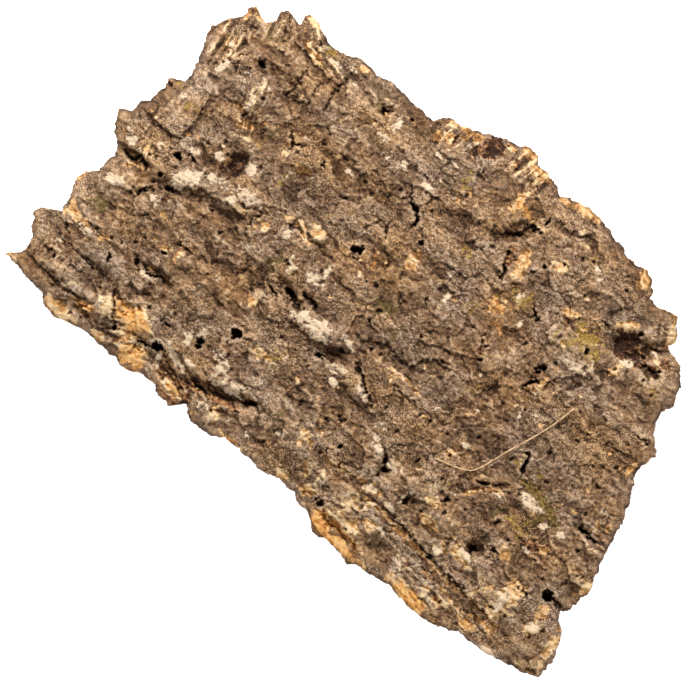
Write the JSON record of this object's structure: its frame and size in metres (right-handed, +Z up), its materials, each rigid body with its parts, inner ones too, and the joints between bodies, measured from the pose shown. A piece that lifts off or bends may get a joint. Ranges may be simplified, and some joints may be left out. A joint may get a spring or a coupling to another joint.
{
  "type": "piece of bark",
  "caption": "Slab of rough cork-oak bark, gently arched across its width, with broken edges, deep pits, lichen crusts, a moss tuft and a dry grass stem.",
  "frame": {"origin": "centre of the bounding box's bottom, on the surface that the slab's long edges rest on", "axes": "+X along the slab's length, which is the direction of the trunk; +Y across the slab; +Z up, out of the weathered outer side"},
  "size_m": [0.344, 0.22, 0.0388],
  "materials": {
    "bark": "rough weathered cork bark, grey-brown with tan broken cork and pale lichen",
    "moss": "dry olive moss, matt and fuzzy",
    "dry_grass": "straw-coloured dry stem, satin"
  },
  "bodies": {
    "root": {"bark": "bark", "moss_tuft": "moss", "dry_grass_stem": "dry_grass"}
  },
  "joints": []
}
